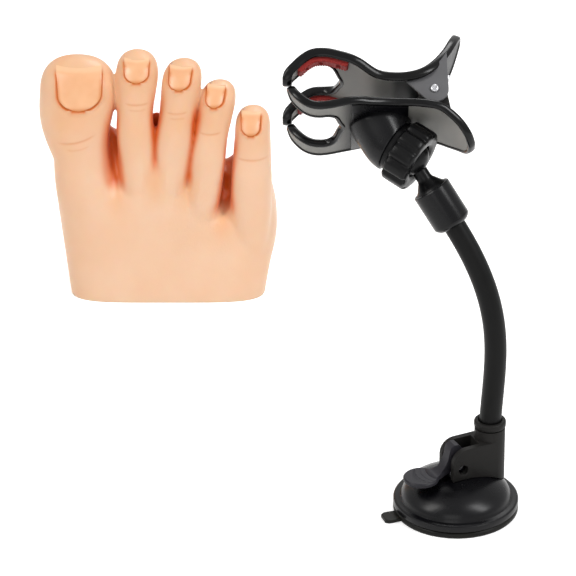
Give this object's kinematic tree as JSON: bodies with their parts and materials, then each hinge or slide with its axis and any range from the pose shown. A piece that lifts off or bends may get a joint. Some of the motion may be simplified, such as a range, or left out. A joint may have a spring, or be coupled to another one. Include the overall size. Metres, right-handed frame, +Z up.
{
  "type": "nail practice foot with clamp holder",
  "caption": "Soft practice forefoot with five toes and set-in nails, and its holder: a suction base, a bendable neck, a ball joint and a sprung clamp with padded claws.",
  "frame": {"origin": "middle of the suction disc's underside, on the table", "axes": "+Z up, +Y away from the front of the foot as seen in its usual view, +X to the right there"},
  "size_m": [0.2288, 0.285, 0.2126],
  "materials": {
    "soft_skin": "soft satin silicone",
    "nail_skin": "smooth satin",
    "disc_rubber": "satin",
    "neck_rubber": "smooth satin",
    "grip_red": "soft satin, ribbed",
    "gloss_black": "glossy",
    "satin_black": "satin",
    "matte_charcoal": "matte",
    "lever_plastic": "satin",
    "jaw_black": "satin faces and glossy rounded rims",
    "seat_plastic": "satin",
    "steel": "satin"
  },
  "bodies": {
    "base_and_foot": {"suction_disc": "disc_rubber", "dome_cover": "gloss_black", "base_post": "matte_charcoal", "neck_collar": "matte_charcoal", "post_screw_left": "steel", "post_screw_right": "steel", "foot_body": "soft_skin", "big_toe_nail": "nail_skin", "second_toe_nail": "nail_skin", "third_toe_nail": "nail_skin", "fourth_toe_nail": "nail_skin", "little_toe_nail": "nail_skin"},
    "stem": {"pull_stem": "steel"},
    "lever": {"cam_lever": "lever_plastic", "lever_pin": "steel"},
    "neck": {"neck_core": "steel", "neck_sheath": "neck_rubber"},
    "arm": {"neck_sleeve": "gloss_black", "ball_stud": "satin_black"},
    "seat": {"ball_seat": "seat_plastic"},
    "head": {"ball_socket": "gloss_black", "lower_jaw": "jaw_black", "near_lower_pad": "grip_red", "far_lower_pad": "grip_red", "hinge_pin": "steel", "jaw_spring": "steel"},
    "nut": {"lock_nut": "satin_black"},
    "upper_claws": {"upper_jaw": "jaw_black", "near_upper_pad": "grip_red", "far_upper_pad": "grip_red"}
  },
  "joints": [
    {"name": "stem_slide", "type": "slide", "parent": "base_and_foot", "child": "stem", "axis": [0, 0, 1], "range_m": [-0.0012, 0]},
    {"name": "lever_turn", "type": "hinge", "parent": "stem", "child": "lever", "pos_m": [0, 0, 0.0232], "axis": [-0.4384, 0.8988, 0], "range_deg": [0, 55]},
    {"name": "neck_bend_lower", "type": "hinge", "parent": "base_and_foot", "child": "neck", "pos_m": [0.01677, 0.00712, 0.06335], "axis": [0, 1, 0], "range_deg": [-25, 25], "deforming": ["neck_sheath", "neck_core"]},
    {"name": "neck_bend_upper", "type": "hinge", "parent": "neck", "child": "arm", "pos_m": [0.01154, 0.00957, 0.11093], "axis": [1, 0, 0], "range_deg": [-20, 20]},
    {"name": "ball_tilt", "type": "hinge", "parent": "arm", "child": "seat", "pos_m": [-0.02228, 0.02524, 0.16803], "axis": [0.5048, 0.8604, 0.0698], "range_deg": [0, 40]},
    {"name": "head_swivel", "type": "hinge", "parent": "seat", "child": "head", "pos_m": [-0.02228, 0.02524, 0.16803], "axis": [0.8192, -0.452, -0.3531], "range_deg": [-30, 90]},
    {"name": "nut_turn", "type": "hinge", "parent": "head", "child": "nut", "pos_m": [-0.02228, 0.02524, 0.16803], "axis": [0.8192, -0.452, -0.3531], "range_deg": [0, 180]},
    {"name": "jaw_open", "type": "hinge", "parent": "head", "child": "upper_claws", "pos_m": [-0.01148, 0.04541, 0.18379], "axis": [0, 0.6157, -0.788], "range_deg": [0, 30], "stiffness_Nm_per_rad": 0.12, "springref_deg": -28.65, "deforming": ["jaw_spring"]}
  ],
  "couplings": [
    {"joint": "stem_slide", "follows": "lever_turn", "m_per_rad": -0.001245}
  ]
}
